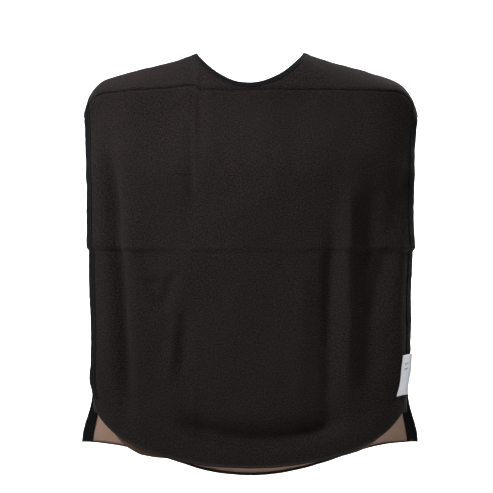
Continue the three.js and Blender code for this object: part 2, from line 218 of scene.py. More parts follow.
# Soft folds of the back, listed in the same way.
BACK_FOLDS = [
    (-0.09, -0.12, -0.20, -0.74, 0.024, -9 * MM),
    (-0.03, -0.05, -0.36, -0.75, 0.018, 4 * MM),
    (0.05, 0.07, -0.30, -0.74, 0.026, -8 * MM),
    (0.17, 0.15, -0.22, -0.70, 0.020, 6 * MM),
    (-0.19, -0.20, -0.16, -0.68, 0.022, 6 * MM),
    (0.23, 0.22, -0.14, -0.60, 0.016, -8 * MM),
    (-0.245, -0.23, -0.16, -0.56, 0.014, -6 * MM),
]
# Sharp folds from packing: x and z of both ends, half width, height.
FRONT_PRESSES = [
    (-0.0925, 0.01, -0.0915, -0.26, 3.0 * MM, 3.4 * MM),
    (-0.0965, -0.54, -0.0965, -0.67, 3.5 * MM, 2.2 * MM),
    (-0.300, -0.339, 0.300, -0.337, 2.4 * MM, 1.7 * MM),
    (-0.094, -0.074, -0.142, -0.100, 4.0 * MM, 3.8 * MM),
    (-0.096, -0.082, -0.118, -0.118, 3.5 * MM, 2.8 * MM),
    (0.1635, -0.22, 0.1605, -0.60, 4.0 * MM, 1.8 * MM),
    (-0.150, -0.402, -0.146, -0.436, 3.5 * MM, -1.8 * MM),
]
BACK_PRESSES = [
    (-0.310, -0.341, 0.310, -0.339, 3.5 * MM, 2.6 * MM),
    (0.0965, -0.06, 0.0975, -0.70, 3.5 * MM, 1.2 * MM),
    (-0.1625, -0.10, -0.1605, -0.68, 4.5 * MM, 1.0 * MM),
]
# Where the wearer's body ends below, the front panel falls in and its hem flares out again.
TORSO_END_X, TORSO_END_Z, TORSO_END_HALF_WIDTH = 0.018, -0.656, 0.150
TORSO_END_CURVE, TORSO_END_DEPTH, TORSO_END_FADE = 1.5, 21 * MM, 0.055
REACH_ABOVE, REACH_BELOW, HEM_FLARE = 26 * MM, 8 * MM, 4 * MM
# Packing left the front bent along a level line, fuller above it than below, most of all at the sides.
BEND_Z, BEND_HEIGHT, SIDE_BEND_HEIGHT = -0.340, 1.6 * MM, 3.2 * MM
BEND_OVER, BEND_FADE, BEND_WANDER = 8 * MM, 0.05, 1.5 * MM
# The back's hem waves: height, length over one radian, z where it starts and how far on it is full.
HEM_WAVE_HEIGHT, HEM_WAVE_LENGTH, HEM_WAVE_FROM, HEM_WAVE_OVER = 3.5 * MM, 0.031, -0.56, 0.16
RELIEF_FADE = 0.055  # how far past the seam a panel's folds run on into the yoke
# Ripples all over the cloth: seed, shortest and longest wave, height.
BROAD_RIPPLES = (3, 0.09, 0.24, 1.5 * MM)
FINE_RIPPLES = (4, 0.02, 0.06, 0.3 * MM)
TIP_X, TIP_HALF_WIDTH, TIP_HEIGHT, TIP_PAST_SEAM = 0.272, 0.014, 5 * MM, 0.06  # the shoulders' full tips
PUCKER_HEIGHT, PUCKER_WAVE, PUCKER_REACH = 0.25 * MM, 3.4 * MM, 12 * MM  # along the bound side edges
GROOVE_DEPTH, GROOVE_HALF_WIDTH = 2 * MM, 1.7 * MM  # along the seams
FULLNESS_HEIGHT, FULLNESS_AT, FULLNESS_HALF_WIDTH = 0.5 * MM, 5 * MM, 3 * MM  # above the front seam


def folds(x, z, listed):
    height = np.zeros_like(x)
    for x_top, x_bottom, top, bottom, width, depth in listed:
        share = (top - z) / (top - bottom)
        middle = x_top + (x_bottom - x_top) * np.clip(share, 0, 1)
        ends = smooth(share / 0.3) * smooth((1 - share) / 0.25)
        height += depth * ends * bump(x, middle, width)
    return height


def presses(x, z, listed):
    height = np.zeros_like(x)
    for x0, z0, x1, z1, width, depth in listed:
        length = math.hypot(x1 - x0, z1 - z0)
        along = ((x - x0) * (x1 - x0) + (z - z0) * (z1 - z0)) / length
        off = ((x - x0) * (z1 - z0) - (z - z0) * (x1 - x0)) / length
        off = off + 1.2 * MM * np.sin(along / 0.031) + 0.6 * MM * np.sin(along / 0.0127 + 1)
        ends = smooth(along / 0.04) * smooth((length - along) / 0.04)
        height += depth * ends * np.exp(-np.sqrt((off / width) ** 2 + 0.05))
    return height


def ripples(point, seed, shortest, longest, height, count=18):
    """Smooth random waves through the cloth."""
    random = np.random.default_rng(seed)
    total = np.zeros(point.shape[:-1])
    for _ in range(count):
        direction = random.normal(size=3)
        direction *= math.tau / random.uniform(shortest, longest) / np.linalg.norm(direction)
        total += np.sin(point @ direction + random.uniform(0, math.tau))
    return height * total * math.sqrt(2 / count)


def front_relief(x, z):
    off_middle = x - TORSO_END_X
    crescent = TORSO_END_Z + TORSO_END_CURVE * off_middle**2
    reach = np.where(z > crescent, REACH_ABOVE, REACH_BELOW)
    across = smooth((TORSO_END_HALF_WIDTH - np.abs(off_middle)) / TORSO_END_FADE)
    under_torso = -TORSO_END_DEPTH * np.exp(-(((z - crescent) / reach) ** 2)) * across
    flare = HEM_FLARE * smooth((crescent - z) / 0.03)
    above = z - BEND_Z - BEND_WANDER * np.sin(x / 0.023)
    bent = BEND_HEIGHT + SIDE_BEND_HEIGHT * smooth((np.abs(x) - 0.10) / 0.09)
    bent = bent * smooth(0.5 + above / BEND_OVER) * np.exp(-np.maximum(0, above) / BEND_FADE)
    return folds(x, z, FRONT_FOLDS) + presses(x, z, FRONT_PRESSES) + under_torso + flare + bent


def back_relief(x, z):
    growth = smooth((HEM_WAVE_FROM - z) / HEM_WAVE_OVER)
    waves = HEM_WAVE_HEIGHT * np.sin(x / HEM_WAVE_LENGTH + 0.8) * growth
    return folds(x, z, BACK_FOLDS) + presses(x, z, BACK_PRESSES) + waves


def relief(a, s):
    point = plain(a, s)
    x, z = point[..., 0], point[..., 2]
    depth = yoke_depth(a)
    on_front = smooth(1 - s / RELIEF_FADE)
    on_back = smooth(1 - (depth - s) / RELIEF_FADE)
    height = on_front * front_relief(x, z) + on_back * back_relief(x, z)
    height = height + ripples(point, *BROAD_RIPPLES) + ripples(point, *FINE_RIPPLES)
    level_gap = np.abs(z - STRAP_Z) / ANCHOR_HALF_HEIGHT
    beside_strap = smooth((np.abs(x) - ANCHOR_FROM) / (ANCHOR_FULL - ANCHOR_FROM))
    height = height * (1 - on_back * beside_strap * smooth(1.6 - level_gap))
    on_shoulder = smooth(1 - np.abs(s - depth / 2) / (depth / 2 + TIP_PAST_SEAM))
    tip = on_shoulder * bump(np.abs(x), TIP_X, TIP_HALF_WIDTH)
    off_edge = (1 - np.abs(a)) * HALF_WIDTH
    level = z - point[..., 1]
    wave = np.sin(level / PUCKER_WAVE + 2 * np.sin(level / (5 * PUCKER_WAVE)))
    pucker = PUCKER_HEIGHT * wave * np.exp(-off_edge / PUCKER_REACH)
    grooves = GROOVE_DEPTH * (bump(s, 0, GROOVE_HALF_WIDTH) + bump(s, depth, GROOVE_HALF_WIDTH))
    fullness = FULLNESS_HEIGHT * bump(s, FULLNESS_AT, FULLNESS_HALF_WIDTH)
    return height + TIP_HEIGHT * tip + pucker - grooves + fullness


# The front seam wanders: x along it, and how far it is pulled up.
SEAM_X = np.array([-281, -247, -198, -150, -110, -92, -84, -60, 0, 60, 128, 198, 247, 281]) * MM
SEAM_PULL = np.array([0, -4, 0.5, 3, 5.5, 5, -0.5, -2, -2.5, -2, 0.5, -0.5, -3, 0]) * MM


def folded(a, s):
    """The surface with its folds."""
    pulled = s + np.interp(a * HALF_WIDTH, SEAM_X, SEAM_PULL) * np.exp(-((s / 0.035) ** 2))
    return plain(a, pulled) + normals_of(plain, a, pulled) * relief(a, s)[..., None]


def place(a, s, offset=0.0):
    """Points of the folded surface, moved out along its normal."""
    a, s = np.broadcast_arrays(np.asarray(a, float), np.asarray(s, float))
    offset = np.broadcast_to(np.asarray(offset, float), a.shape)
    return folded(a, s) + normals_of(folded, a, s) * offset[..., None]


# ---- meshes ----
def unit(vectors):
    return vectors / np.maximum(np.linalg.norm(vectors, axis=-1, keepdims=True), 1e-12)


def object_of(name, points, faces, uv, material):
    """uv is one pair for each point, in metres along the cloth."""
    mesh = bpy.data.meshes.new(name)
    mesh.from_pydata(points.tolist(), [], faces)
    layer = mesh.uv_layers.new(name="Cloth")
    corner_points = np.empty(len(mesh.loops), int)
    mesh.loops.foreach_get("vertex_index", corner_points)
    layer.data.foreach_set("uv", np.asarray(uv)[corner_points].ravel().astype(np.float32))
    mesh.polygons.foreach_set("use_smooth", [True] * len(mesh.polygons))
    mesh.materials.append(material)
    mesh.update()
    piece = bpy.data.objects.new(name, mesh)
    bpy.context.scene.collection.objects.link(piece)
    return piece


def grid_faces(rows, columns, start=0, ring=False, flipped=False):
    j, i = np.meshgrid(np.arange(rows - 1), np.arange(columns if ring else columns - 1), indexing="ij")
    following = (i + 1) % columns
    quads = [j * columns + i, j * columns + following, (j + 1) * columns + following, (j + 1) * columns + i]
    faces = start + np.stack([quad.ravel() for quad in quads], axis=1)
    return faces[:, ::-1].tolist() if flipped else faces.tolist()


def cloth_piece(name, outer, thickness, uv, material, ring=False):
    """A closed sheet: outer[row][column] is its right side, and its left side lies a thickness behind."""
    rows, columns = outer.shape[:2]
    if ring:
        across = np.roll(outer, -1, axis=1) - np.roll(outer, 1, axis=1)
    else:
        across = np.gradient(outer, axis=1)
    normal = unit(np.cross(across, np.gradient(outer, axis=0)))
    inner = outer - normal * thickness
    half = rows * columns
    points = np.concatenate([outer.reshape(-1, 3), inner.reshape(-1, 3)])
    faces = grid_faces(rows, columns, 0, ring) + grid_faces(rows, columns, half, ring, flipped=True)
    row = list(range(columns)) + ([0] if ring else [])
    rim = [(row[k + 1], row[k]) for k in range(len(row) - 1)]
    last = (rows - 1) * columns
    rim += [(last + row[k], last + row[k + 1]) for k in range(len(row) - 1)]
    if not ring:
        rim += [(k * columns, (k + 1) * columns) for k in range(rows - 1)]
        rim += [((k + 2) * columns - 1, (k + 1) * columns - 1) for k in range(rows - 1)]
    faces += [[p, q, q + half, p + half] for p, q in rim]
    flat = uv.reshape(-1, 2)
    return object_of(name, points, faces, np.concatenate([flat, flat]), material)


def swept_piece(name, sections, uv, material, loop=False):
    """sections[station][corner] is a closed outline swept along a path."""
    stations, corners = sections.shape[:2]
    points = sections.reshape(-1, 3)
    faces = grid_faces(stations, corners, ring=True)
    last = (stations - 1) * corners
    if loop:
        faces += [[last + i, last + (i + 1) % corners, (i + 1) % corners, i] for i in range(corners)]
    else:
        faces.append(list(range(corners))[::-1])
        faces.append([last + i for i in range(corners)])
    piece = object_of(name, points, faces, uv.reshape(-1, 2), material)
    recalculate_outside(piece)
    return piece


def recalculate_outside(piece):
    mesh = bmesh.new()
    mesh.from_mesh(piece.data)
    bmesh.ops.recalc_face_normals(mesh, faces=mesh.faces)
    mesh.to_mesh(piece.data)
    mesh.free()


# ---- materials ----
class Finish:
    """A material's node tree, with short ways to add what the finishes share."""

    def __init__(self, name, roughness, sheen=0.0, sheen_tint=(1, 1, 1, 1), specular=0.5):
        self.material = bpy.data.materials.new(name)
        self.material.use_nodes = True
        self.tree = self.material.node_tree
        self.shader = self.tree.nodes["Principled BSDF"]
        self.shader.inputs["Roughness"].default_value = roughness
        self.shader.inputs["Sheen Weight"].default_value = sheen
        self.shader.inputs["Sheen Roughness"].default_value = 0.5
        self.shader.inputs["Sheen Tint"].default_value = sheen_tint
        self.shader.inputs["Specular IOR Level"].default_value = specular
        self.cloth = self.node("ShaderNodeUVMap", uv_map="Cloth").outputs["UV"]

    def node(self, kind, inputs=None, **settings):
        made = self.tree.nodes.new(kind)
        for key, value in settings.items():
            setattr(made, key, value)
        for key, value in (inputs or {}).items():
            if isinstance(value, bpy.types.NodeSocket):
                self.tree.links.new(value, made.inputs[key])
            else:
                made.inputs[key].default_value = value
        return made

    def noise(self, scale, detail=3.0, stretch=(1, 1, 1), roughness=0.6):
        scaled = self.node("ShaderNodeMapping", {"Vector": self.cloth, "Scale": stretch})
        texture = self.node(
            "ShaderNodeTexNoise",
            {"Vector": scaled.outputs["Vector"], "Scale": scale, "Detail": detail, "Roughness": roughness},
        )
        return texture.outputs["Fac"]

    def math(self, operation, first, second=0.0):
        return self.node("ShaderNodeMath", {0: first, 1: second}, operation=operation).outputs[0]

    def ramp(self, value, low, high, from_low=0.0, from_high=1.0):
        inputs = {"Value": value, 1: from_low, 2: from_high, 3: low, 4: high}
        return self.node("ShaderNodeMapRange", inputs).outputs["Result"]

    def ribs(self, axis, pitch):
        split = self.node("ShaderNodeSeparateXYZ", {"Vector": self.cloth}).outputs[axis]
        turned = self.math("MULTIPLY", split, math.tau / pitch)
        return self.ramp(self.math("SINE", turned), 0.0, 1.0, -1.0, 1.0)

    def colour(self, socket):
        self.tree.links.new(socket, self.shader.inputs["Base Color"])

    def rough(self, socket):
        self.tree.links.new(socket, self.shader.inputs["Roughness"])

    def raise_by(self, height, distance, strength=1.0):
        made = self.node("ShaderNodeBump", {"Height": height, "Distance": distance, "Strength": strength})
        self.tree.links.new(made.outputs["Normal"], self.shader.inputs["Normal"])


def mixed_colour(finish, share, first, second):
    made = finish.node("ShaderNodeMix", data_type="RGBA")
    factor, a, b = made.inputs[0], made.inputs[6], made.inputs[7]
    for socket, value in ((factor, share), (a, first), (b, second)):
        if isinstance(value, bpy.types.NodeSocket):
            finish.tree.links.new(value, socket)
        else:
            socket.default_value = value
    return made.outputs[2]


def brushed_cloth():
    finish = Finish("brushed_cloth", 0.92, sheen=0.02, sheen_tint=(0.6, 0.5, 0.46, 1), specular=0.06)
    fleck = finish.noise(410, 4, roughness=0.85)
    fibre = finish.noise(1100, 3, stretch=(1, 0.4, 1))
    tone = finish.noise(9, 4)
    share = finish.math("ADD", finish.math("MULTIPLY", fleck, 0.75), finish.math("MULTIPLY", fibre, 0.25))
    raised = finish.ramp(share, 0, 1, 0.42, 0.60)
    base = mixed_colour(finish, raised, (0.0020, 0.0015, 0.0016, 1), (0.036, 0.0275, 0.0265, 1))
    toned = mixed_colour(finish, finish.ramp(tone, 0, 0.35, 0.35, 0.7), base, (0.016, 0.0135, 0.014, 1))
    # Lighter cloth along the packing folds, and a painted highlight along the hems' rolled edges.
    pressed = finish.node("ShaderNodeAttribute", attribute_name="pressed").outputs["Fac"]
    finish.colour(mixed_colour(finish, pressed, toned, (0.036, 0.030, 0.028, 1)))
    finish.rough(finish.ramp(fleck, 0.84, 1.0))
    finish.raise_by(share, 0.7 * MM, 0.8)
    return finish.material


def vinyl_lining(name, dark, light, grain_colour):
    finish = Finish(name, 0.5)
    grain = finish.node("ShaderNodeTexVoronoi", {"Vector": finish.cloth, "Scale": 520}).outputs["Distance"]
    fine = finish.noise(1500, 2)
    tone = finish.noise(7, 4)
    base = mixed_colour(finish, finish.ramp(tone, 0, 1, 0.3, 0.7), dark, light)
    finish.colour(mixed_colour(finish, finish.ramp(grain, 0.25, 0, 0, 0.5), base, grain_colour))
    finish.rough(finish.ramp(fine, 0.42, 0.6))
    finish.raise_by(finish.math("ADD", grain, finish.math("MULTIPLY", fine, 0.4)), 0.25 * MM, 0.6)
    return finish.material


def lead_vinyl():
    finish = Finish("lead_vinyl", 0.6)
    tone = finish.noise(30, 5)
    clouds = finish.ramp(tone, 0, 1, 0.3, 0.7)
    finish.colour(mixed_colour(finish, clouds, (0.09, 0.095, 0.10, 1), (0.13, 0.135, 0.145, 1)))
    finish.rough(finish.ramp(tone, 0.5, 0.7))
    finish.raise_by(finish.noise(800, 3), 0.1 * MM)
    return finish.material


def woven_tape(name, pitch, dark, light, height):
    """Cross-ribbed tape: u runs across it and v along it."""
    finish = Finish(name, 0.85, specular=0.12)
    across = finish.ribs("Y", pitch)
    wales = finish.ribs("X", pitch * 0.8)
    weave = finish.math("MULTIPLY", across, finish.ramp(wales, 0.55, 1.0))
    fibre = finish.noise(1600, 3)
    share = finish.math("MULTIPLY", weave, finish.ramp(fibre, 0.5, 1.2))
    finish.colour(mixed_colour(finish, share, dark, light))
    finish.rough(finish.ramp(fibre, 0.68, 0.9))
    finish.raise_by(share, height, 0.8)
    return finish.material


def hook_and_loop():
    finish = Finish("hook_and_loop", 0.95, sheen=0.08, specular=0.15)
    tufts = finish.node("ShaderNodeTexVoronoi", {"Vector": finish.cloth, "Scale": 700}).outputs["Distance"]
    fuzz = finish.noise(1900, 4)
    share = finish.math("MULTIPLY", finish.ramp(tufts, 1, 0, 0, 0.7), fuzz)
    finish.colour(mixed_colour(finish, share, (0.006, 0.006, 0.007, 1), (0.045, 0.045, 0.05, 1)))
    finish.raise_by(share, 0.6 * MM)
    return finish.material


def twisted_thread():
    finish = Finish("twisted_thread", 0.6, sheen=0.05, specular=0.25)
    twist = finish.ribs("Y", 0.8 * MM)
    finish.colour(mixed_colour(finish, twist, (0.008, 0.007, 0.007, 1), (0.035, 0.030, 0.029, 1)))
    finish.raise_by(twist, 0.1 * MM)
    return finish.material


LABEL_LINE_PITCH = 8.5 * MM


def satin_label():
    """White satin with soft blue-grey bars in place of print."""
    finish = Finish("satin_label", 0.45, sheen=0.2)
    weave = finish.ribs("Y", 0.5 * MM)
    split = finish.node("ShaderNodeSeparateXYZ", {"Vector": finish.cloth})
    u, v = split.outputs["X"], split.outputs["Y"]
    white = mixed_colour(finish, finish.ramp(finish.noise(60, 3), 0, 1, 0.3, 0.7),
                         (0.78, 0.80, 0.84, 1), (0.88, 0.89, 0.92, 1))
    lines = finish.math("SINE", finish.math("MULTIPLY", v, math.tau / LABEL_LINE_PITCH))
    rows = finish.math("GREATER_THAN", lines, 0.55)
    inside_u = finish.math("LESS_THAN", finish.math("ABSOLUTE", finish.math("SUBTRACT", u, 0.012)), 0.0045)
    inside_v = finish.math("LESS_THAN", finish.math("ABSOLUTE", finish.math("SUBTRACT", v, 0.046)), 0.0085)
    printed = finish.math("MULTIPLY", finish.math("MULTIPLY", rows, inside_u), inside_v)
    finish.colour(mixed_colour(finish, finish.math("MULTIPLY", printed, 0.75), white, (0.16, 0.30, 0.42, 1)))
    finish.rough(finish.ramp(weave, 0.38, 0.55))
    finish.raise_by(weave, 0.08 * MM)
    return finish.material


def studio_paper():
    finish = Finish("studio_paper", 0.9)
    spots = finish.node("ShaderNodeTexNoise", {"Scale": 4.0}).outputs["Fac"]
    finish.colour(mixed_colour(finish, spots, (0.90, 0.90, 0.90, 1), (0.93, 0.93, 0.93, 1)))
    return finish.material


CLOTH_FINISH = brushed_cloth()
LINING_FINISH = vinyl_lining("vinyl_lining", (0.300, 0.190, 0.135, 1), (0.390, 0.255, 0.190, 1),
                             (0.16, 0.11, 0.09, 1))
# A dark copy of the lining, as painted shade: the lining's edge lies in the hem's shadow.
LINING_EDGE_SHADE_FINISH = vinyl_lining("worn_lining_edge", (0.050, 0.018, 0.007, 1), (0.090, 0.034, 0.014, 1),
                                  (0.02, 0.009, 0.005, 1))
LEAD_FINISH = lead_vinyl()
TAPE_FINISH = woven_tape("binding_tape", 1.3 * MM, (0.0015, 0.0016, 0.0020, 1),
                         (0.0065, 0.0070, 0.0090, 1), 0.3 * MM)
WEBBING_FINISH = woven_tape("webbing", 2.2 * MM, (0.003, 0.003, 0.0035, 1),
                            (0.018, 0.018, 0.020, 1), 0.6 * MM)
PATCH_FINISH = hook_and_loop()
THREAD_FINISH = twisted_thread()
LABEL_FINISH = satin_label()

# ---- grids of surface coordinates ----
PANEL_COLUMNS = 171
PANEL_ROWS = 150
# The seam allowance: how far below the seam each row lies, and how deep it is sunk.
SEAM_TUCK = [(-1.5 * MM, 1.45 * MM), (0.15 * MM, 1.3 * MM), (0.6 * MM, 0.4 * MM)]
LEAD_TRIM_ROWS = 4  # the lead sheets stop short of the hems by so many rows
SEAM_ROWS = np.array([0.04, 0.5, 1.1, 1.8, 2.6, 3.6, 5, 7, 9.5]) * MM
EDGE_CROWDING = 0.65


def panel_columns(count):
    """Columns that lie closer together towards the sides, which curl most."""
    u = np.linspace(-1, 1, count)
    return (1 - EDGE_CROWDING) * u + EDGE_CROWDING * np.sin(math.pi / 2 * u)


def front_hem(a):
    return seam_z(a) - FRONT_CORNER_Z + FRONT_HEM_DROP * np.sqrt(np.maximum(0, 1 - a * a))


def back_hem(a):
    return seam_z(a) - BACK_CORNER_Z + BACK_HEM_DROP * (1 + np.cos(math.pi * a)) / 2


def panel_drops(a, hem, count):
    """Distances below the seam, row by row, from the seam to the hem."""
    start = SEAM_ROWS[-1]
    share = np.linspace(0, 1, count)[1:, None]
    plain_rows = start + (hem(a)[None, :] - start) * share
    return np.concatenate([np.repeat(SEAM_ROWS[:, None], len(a), axis=1), plain_rows])


def panel_grid(front, count_columns, count_rows):
    """Rows run as s does: up the front panel, or down the back panel."""
    a = panel_columns(count_columns)
    drops = panel_drops(a, front_hem if front else back_hem, count_rows)
    grid_a = np.broadcast_to(a, drops.shape)
    if front:
        return grid_a[::-1], -drops[::-1]
    return grid_a, yoke_depth(grid_a) + drops


def cloth_uv(a, s):
    return np.stack([a * HALF_WIDTH, s], axis=-1)


ROLL_ANGLES = np.linspace(0, math.pi, 9)[1:]
FRONT_ROLL, BACK_ROLL = 2.6 * MM, 1.3 * MM  # how far a hem's roll stands out past the edge
FACING_ROWS = 8
LEAST_FACING = 1 * MM
FRONT_FACING_TAPER, BACK_FACING_TAPER = 0.09, 0.7  # share of the half width over which it narrows


def hem_roll(a, s, outwards, roll):
    """Rows of points round a hem's edge, with their distances along the cloth.
    a and s run along the hem, and outwards is the direction off the cloth's edge."""
    edge = place(a, s)
    normal = normals_of(folded, a, s)
    radius = -HEM_INSIDE / 2
    rows, lengths = [], []
    for angle in ROLL_ANGLES:
        rows.append(edge - normal * radius * (1 - math.cos(angle)) + outwards * roll * math.sin(angle))
        lengths.append(radius * angle)
    return rows, lengths


def turned_hem(front, a, s_edge):
    """The roll and the facing, as rows away from the hem with their distances along the cloth."""
    tangent = unit(np.gradient(folded(a, s_edge), axis=0))
    normal = normals_of(folded, a, s_edge)
    outwards = np.cross(tangent, normal)
    if outwards[len(a) // 2][2] > 0:
        outwards = -outwards
    rows, lengths = hem_roll(a, s_edge, outwards, FRONT_ROLL if front else BACK_ROLL)
    rolled = lengths[-1]
    facing = FRONT_FACING if front else BACK_FACING
    taper = FRONT_FACING_TAPER if front else BACK_FACING_TAPER
    height = LEAST_FACING + (facing - LEAST_FACING) * smooth((1 - np.abs(a)) / taper)
    sign = 1 if front else -1
    for share in np.linspace(0, 1, FACING_ROWS + 1)[1:]:
        rows.append(place(a, s_edge + sign * height * share, HEM_INSIDE))
        lengths.append(rolled + facing * share)
    return rows, lengths


def tucked(a, s, front):
    """The grid with its first rows turned in under the yoke's edge, as a seam allowance."""
    s, offset = s.copy(), np.zeros_like(s)
    for k, (drop, depth) in enumerate(SEAM_TUCK):
        row = -1 - k if front else k
        s[row] = -drop if front else yoke_depth(a[row]) + drop
        offset[row] = -depth
    return s, offset


def panel_cloth(name, front):
    a, s = panel_grid(front, PANEL_COLUMNS, PANEL_ROWS)
    s, offset = tucked(a, s, front)
    outer = place(a, s, offset)
    uv = cloth_uv(a, s)
    edge_row = 0 if front else -1
    rows, lengths = turned_hem(front, a[edge_row], s[edge_row])
    sign = -1 if front else 1
    turned_uv = [uv[edge_row] + np.array([0, sign * length]) for length in lengths]
    if front:
        points = np.concatenate([np.array(rows[::-1]), outer])
        uv = np.concatenate([np.array(turned_uv[::-1]), uv])
    else:
        points = np.concatenate([outer, np.array(rows)])
        uv = np.concatenate([uv, np.array(turned_uv)])
    piece = cloth_piece(name, points, CLOTH[1], uv, CLOTH_FINISH)
    hem_row = len(rows) if front else len(outer) - 1
    mark_creases_and_hem_highlight(piece, FRONT_PRESSES if front else BACK_PRESSES, points.shape[1], hem_row)
    return piece


# How far the packing folds lighten the cloth, and how strong the hem's painted highlight is.
FULLY_PRESSED, CREASE_LIGHTENING, HEM_HIGHLIGHT = 1.8 * MM, 0.15, 0.8


def mark_creases_and_hem_highlight(piece, listed, columns=0, hem_row=None):
    """Where the cloth is lighter along the packing folds, and a painted highlight along the hem's rolled
    edge, for the cloth's finish.
    """
    points = np.empty(len(piece.data.vertices) * 3)
    piece.data.vertices.foreach_get("co", points)
    points = points.reshape(-1, 3)
    lightening = presses(points[:, 0], points[:, 2], listed) / FULLY_PRESSED
    lightening = CREASE_LIGHTENING * np.clip(lightening, 0, 1) ** 2
    if hem_row is not None:
        # A painted highlight along the hem's rolled edge, where the light catches it.
        lightening[hem_row * columns : (hem_row + 1) * columns] = HEM_HIGHLIGHT
    attribute = piece.data.attributes.new("pressed", "FLOAT", "POINT")
    attribute.data.foreach_set("value", lightening)


def panel_layer(name, front, layer, finish, trimmed=False):
    """A layer under the cloth, on the cloth's own grid so that it never shows through a fold."""
    a, s = panel_grid(front, PANEL_COLUMNS, PANEL_ROWS)
    if trimmed:
        kept = np.abs(a[0]) < 1 - EDGE_TAPE_WIDTH / HALF_WIDTH
        rows = slice(LEAD_TRIM_ROWS, None) if front else slice(None, -LEAD_TRIM_ROWS)
        a, s = a[rows, kept], s[rows, kept]
    return cloth_piece(name, place(a, s, layer[0]), layer[1], cloth_uv(a, s), finish)


YOKE_ROWS = 52
YOKE_TRIM = slice(6, -9)  # the rows of the yoke that its lead sheets cover


# The yoke is a ring of columns round the neck opening, with rows from its outer edge to the neck.
def yoke_edge():
    seam = panel_columns(141)
    sides = np.linspace(0, 1, 28)[1:-1]
    run = lambda a, t: SEAM_GAP + (yoke_depth(a) - 2 * SEAM_GAP) * t
    tip = np.ones(len(sides))
    a = np.concatenate([seam, tip, seam[::-1], -tip])
    s = np.concatenate([run(seam, 0), run(tip, sides), run(seam[::-1], 1), run(-tip, sides[::-1])])
    return a, s


def neck_at(angle):
    middle = (NECK_FRONT + NECK_BACK) / 2
    reach = (NECK_BACK - NECK_FRONT) / 2
    return NECK_HALF_WIDTH / HALF_WIDTH * np.cos(angle), middle + reach * np.sin(angle)


def yoke_grid():
    outer_a, outer_s = yoke_edge()
    neck_a, neck_s = neck_at(np.arctan2(2 * outer_s / yoke_depth(outer_a) - 1, outer_a))
    share = (0.5 - 0.5 * np.cos(math.pi * np.linspace(0, 1, YOKE_ROWS)))[:, None]
    return outer_a + (neck_a - outer_a) * share, outer_s + (neck_s - outer_s) * share


def yoke_layer(name, layer, finish, trimmed=False):
    a, s = yoke_grid()
    if trimmed:
        a, s = a[YOKE_TRIM], s[YOKE_TRIM]
    return cloth_piece(name, place(a, s, layer[0]), layer[1], cloth_uv(a, s), finish, ring=True)


# ---- binding tapes ----
LEG_STEPS = 4
ROLL_STEPS = 7


def tape_section(edge, leg, outwards):
    """The closed outline of a tape folded over an edge, at each station along it."""
    edge_a, edge_s = edge
    leg_a, leg_s = leg
    radius = (TAPE_OUTSIDE - TAPE_INSIDE) / 2
    middle = (TAPE_OUTSIDE + TAPE_INSIDE) / 2
    rim = place(edge_a, edge_s)
    normal = normals_of(folded, edge_a, edge_s)

    def face(inset):
        outline = []
        for k in range(LEG_STEPS):
            t = k / LEG_STEPS
            dip = 0.3 * MM if k == 0 else 0.0
            a, s = leg_a + (edge_a - leg_a) * t, leg_s + (edge_s - leg_s) * t
            outline.append(place(a, s, TAPE_OUTSIDE - inset - dip))
        for angle in np.linspace(0, math.pi, ROLL_STEPS):
            out = (TAPE_BULGE - inset) * math.sin(angle)
            offset = middle + (radius - inset) * math.cos(angle)
            outline.append(rim + normal * offset + outwards * out)
        for k in range(LEG_STEPS - 1, -1, -1):
            t = k / LEG_STEPS
            a, s = leg_a + (edge_a - leg_a) * t, leg_s + (edge_s - leg_s) * t
            outline.append(place(a, s, TAPE_INSIDE + inset))
        return outline

    outline = face(0.0) + face(TAPE)[::-1]
    return np.stack(outline, axis=1)


def tape_piece(name, edge, leg, loop=False):
    rim = folded(*edge)
    if loop:
        tangent = unit(np.roll(rim, -1, axis=0) - np.roll(rim, 1, axis=0))
    else:
        tangent = unit(np.gradient(rim, axis=0))
    outwards = np.cross(tangent, normals_of(folded, *edge))
    towards = rim - folded(*leg)
    outwards = outwards * np.sign(np.sum(outwards * towards, axis=-1, keepdims=True))
    sections = tape_section(edge, leg, outwards)
    along = np.concatenate([[0], np.cumsum(np.linalg.norm(np.diff(rim, axis=0), axis=-1))])
    first = sections[len(sections) // 2]
    across = np.concatenate([[0], np.cumsum(np.linalg.norm(np.diff(first, axis=0), axis=-1))])
    uv = np.stack(np.meshgrid(across, along), axis=-1)
    return swept_piece(name, sections, uv, TAPE_FINISH, loop)


def side_leg(a_edge, s_edge, on_front):
    """The line that a side tape's leg reaches to: level with its edge, but for the end at the seam.
    The back's tapes widen at the lower corners, where they are gathered."""
    drop = -s_edge if on_front else s_edge - yoke_depth(a_edge)
    width = EDGE_TAPE_WIDTH * (1 if on_front else 1 + 0.75 * smooth((drop - 0.44) / 0.12))
    a_leg = a_edge * (1 - width / HALF_WIDTH)
    level = seam_z(a_edge) - seam_z(a_leg)
    leg_drop = drop - level * smooth(drop / 0.06)
    return a_leg, (-leg_drop if on_front else yoke_depth(a_leg) + leg_drop)


def side_tape(name, side, on_front):
    a = np.array([float(side)])
    hem = (front_hem if on_front else back_hem)(a)[0]
    drop = np.linspace(SEAM_GAP, hem + (0 if on_front else 1.5 * MM), 150)
    a = np.full_like(drop, side)
    s = -drop if on_front else yoke_depth(a) + drop
    return tape_piece(name, (a, s), side_leg(a, s, on_front))


def yoke_side_tape(name, side):
    share = np.linspace(0, 1, 36)
    a = np.full_like(share, side)
    s = SEAM_GAP + (yoke_depth(a) - 2 * SEAM_GAP) * share
    a_leg = a * (1 - EDGE_TAPE_WIDTH / HALF_WIDTH)
    return tape_piece(name, (a, s), (a_leg, SEAM_GAP + (yoke_depth(a_leg) - 2 * SEAM_GAP) * share))


